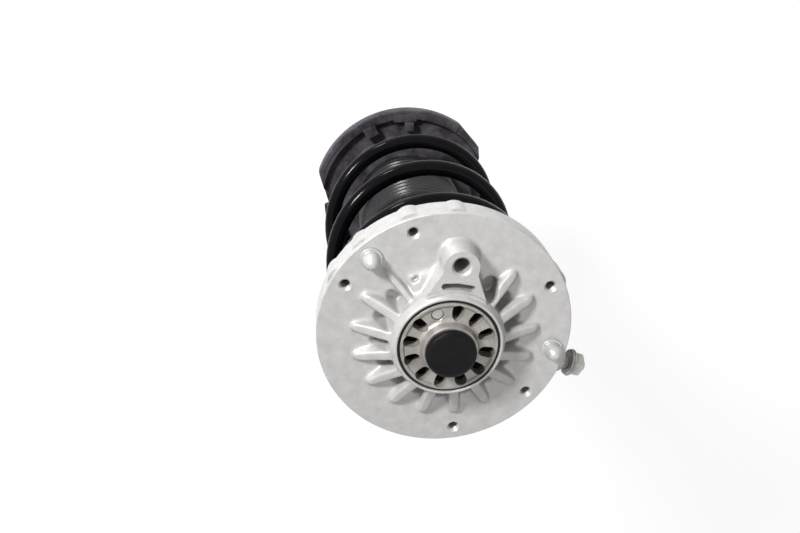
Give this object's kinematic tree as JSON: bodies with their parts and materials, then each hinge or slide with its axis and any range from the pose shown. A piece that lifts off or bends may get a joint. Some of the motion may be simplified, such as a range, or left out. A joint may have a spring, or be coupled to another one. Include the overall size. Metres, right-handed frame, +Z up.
{
  "type": "suspension strut assembly",
  "caption": "Front suspension strut: cast top mount with bearing, coil spring, boot and twin-tube damper with a clamp-fit lower tube.",
  "frame": {"origin": "centre of the top mount's flat upper face, on the strut's axis", "axes": "+Z up along the strut's axis, out of the top mount; -Y towards the mount's raised arm"},
  "size_m": [0.2037, 0.183, 0.558],
  "materials": {
    "cast_aluminium": "satin die-cast skin with machined faces",
    "core_metal": "fine blasted, slightly warm",
    "pin_steel": "turned and plated",
    "zinc_plate": "bright zinc plated",
    "mount_rubber": "moulded, matt",
    "cap_plastic": "moulded, matt",
    "race_plastic": "moulded, satin",
    "bearing_steel": "polished",
    "foam": "closed-cell foam, matt",
    "rod_chrome": "ground and hard chromed",
    "valve_steel": "turned, oiled",
    "band_plastic": "sliding plastic",
    "seal_rubber": "moulded, matt",
    "seat_black": "black stoved paint",
    "pad_rubber": "moulded, matt, dark grey",
    "spring_black": "black powder coat, gloss",
    "boot_rubber": "moulded, satin",
    "damper_black": "black paint, satin"
  },
  "bodies": {
    "mount": {"mount_housing": "cast_aluminium", "locating_pins": "pin_steel", "side_stud": "zinc_plate", "side_washer": "zinc_plate", "side_nut": "zinc_plate", "mount_core": "core_metal", "mount_rubber": "mount_rubber", "rod_washer": "zinc_plate", "rod_nut": "zinc_plate", "stop_washer": "zinc_plate", "rod_cap": "cap_plastic", "bearing_upper_race": "race_plastic", "bump_stop": "foam", "piston_rod": "rod_chrome", "rebound_stop": "band_plastic", "rebound_spacer": "valve_steel", "piston": "valve_steel", "piston_band": "band_plastic", "piston_nut": "valve_steel"},
    "ball_set": {"bearing_balls": "bearing_steel", "bearing_cage": "race_plastic"},
    "spring_carrier": {"bearing_lower_race": "race_plastic", "upper_spring_seat": "seat_black", "upper_spring_pad": "pad_rubber", "coil_spring": "spring_black", "dust_boot": "boot_rubber"},
    "damper": {"damper_tube": "damper_black", "tube_base": "damper_black", "bump_cap": "damper_black", "rod_guide": "valve_steel", "rod_seal": "seal_rubber", "inner_tube": "valve_steel", "base_valve": "valve_steel", "lower_spring_seat": "seat_black", "lower_spring_pad": "pad_rubber", "link_bracket": "damper_black", "hose_bracket": "damper_black", "clamp_tab": "damper_black"}
  },
  "joints": [
    {"name": "steer", "type": "hinge", "parent": "mount", "child": "spring_carrier", "pos_m": [0, 0, 0], "axis": [0, 0, 1], "range_deg": [-45, 45]},
    {"name": "ball_roll", "type": "hinge", "parent": "mount", "child": "ball_set", "pos_m": [0, 0, 0], "axis": [0, 0, 1], "range_deg": [-22.5, 22.5]},
    {"name": "stroke", "type": "slide", "parent": "spring_carrier", "child": "damper", "axis": [0, 0, 1], "range_m": [0, 0.13], "stiffness_N_per_m": 26000, "springref_m": -0.06, "deforming": ["coil_spring", "dust_boot", "bump_stop"]}
  ],
  "couplings": [
    {"joint": "ball_roll", "follows": "steer", "ratio": 0.5}
  ]
}
